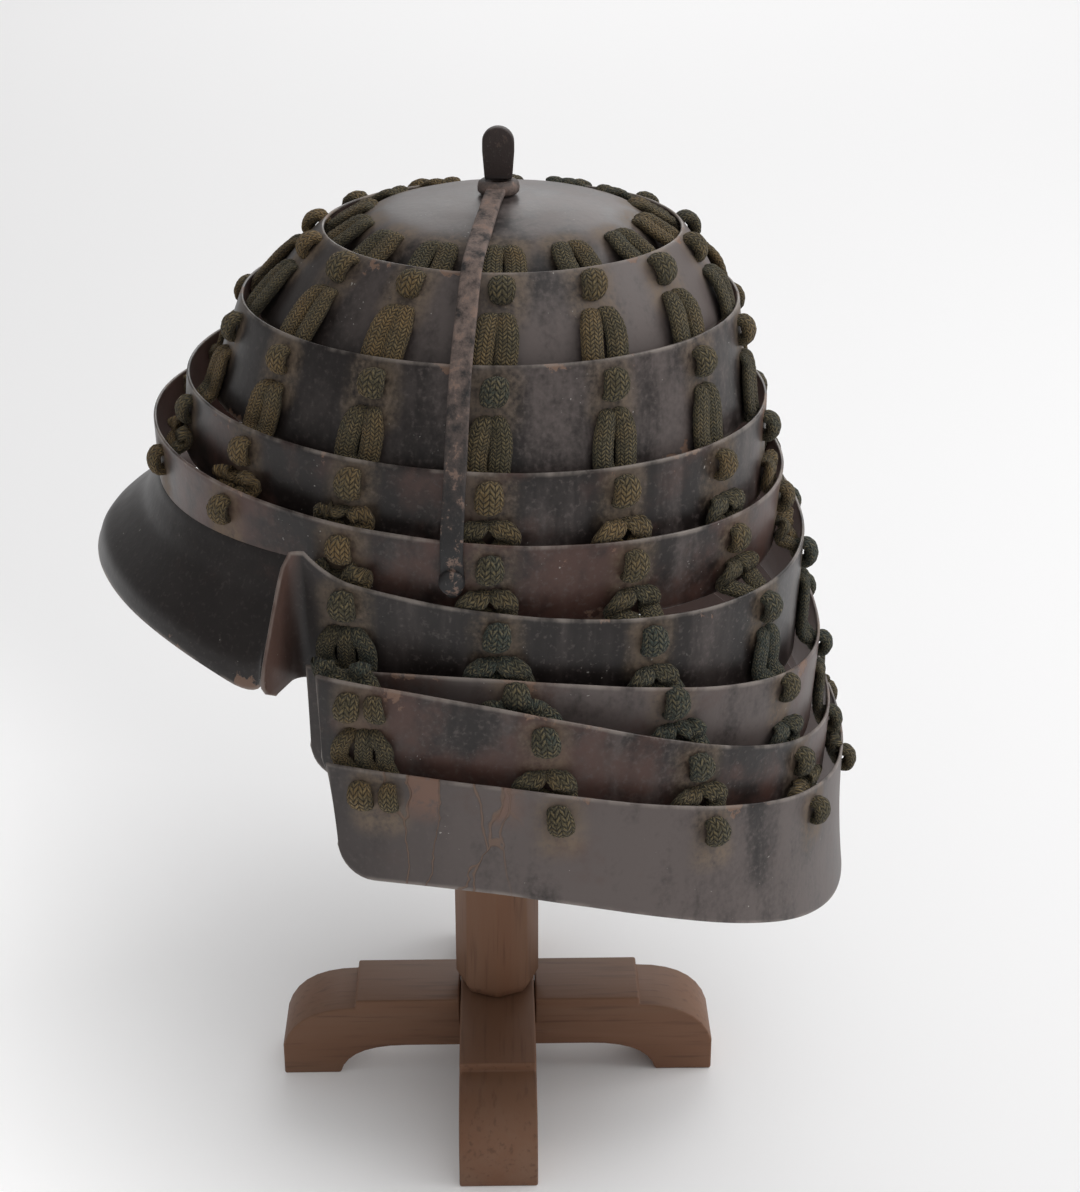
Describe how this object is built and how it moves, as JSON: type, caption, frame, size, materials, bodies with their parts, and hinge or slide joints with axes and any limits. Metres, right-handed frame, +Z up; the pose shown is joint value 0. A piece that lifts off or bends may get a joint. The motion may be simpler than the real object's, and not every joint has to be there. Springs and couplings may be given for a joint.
{
  "type": "samurai helmet on a wooden stand",
  "caption": "Folding helmet of lacquered iron rings and neck lames hung on cord lacing, held open by a latched side bar, on a crossed-foot wooden post stand.",
  "frame": {"origin": "middle of the whole object's footprint, on the surface that the stand's feet rest on", "axes": "+Z up along the stand's post, -Y towards the helmet's front, +X towards the wearer's left"},
  "size_m": [0.2796, 0.2848, 0.387],
  "materials": {
    "lacquered_iron": "worn satin black-brown lacquer on iron plate",
    "cord": "braided flat cord, faded olive",
    "bare_iron": "forged iron with old lacquer and rust",
    "stand_wood": "oiled mid-brown hardwood"
  },
  "bodies": {
    "root": {"cap": "lacquered_iron", "bowl_ring_1": "lacquered_iron", "bowl_ring_2": "lacquered_iron", "bowl_ring_3": "lacquered_iron", "bowl_ring_4": "lacquered_iron", "neck_lame_1": "lacquered_iron", "neck_lame_2": "lacquered_iron", "neck_lame_3": "lacquered_iron", "neck_lame_4": "lacquered_iron", "visor": "lacquered_iron", "lacing_01": "cord", "lacing_02": "cord", "lacing_03": "cord", "lacing_04": "cord", "lacing_05": "cord", "lacing_06": "cord", "lacing_07": "cord", "lacing_08": "cord", "lacing_09": "cord", "lacing_10": "cord", "lacing_11": "cord", "lacing_12": "cord", "lacing_13": "cord", "lacing_14": "cord", "top_tab": "bare_iron", "side_bar": "bare_iron", "bar_rivet": "bare_iron", "stand_post": "stand_wood", "stand_beam_side": "stand_wood", "stand_beam_front": "stand_wood"}
  },
  "joints": []
}
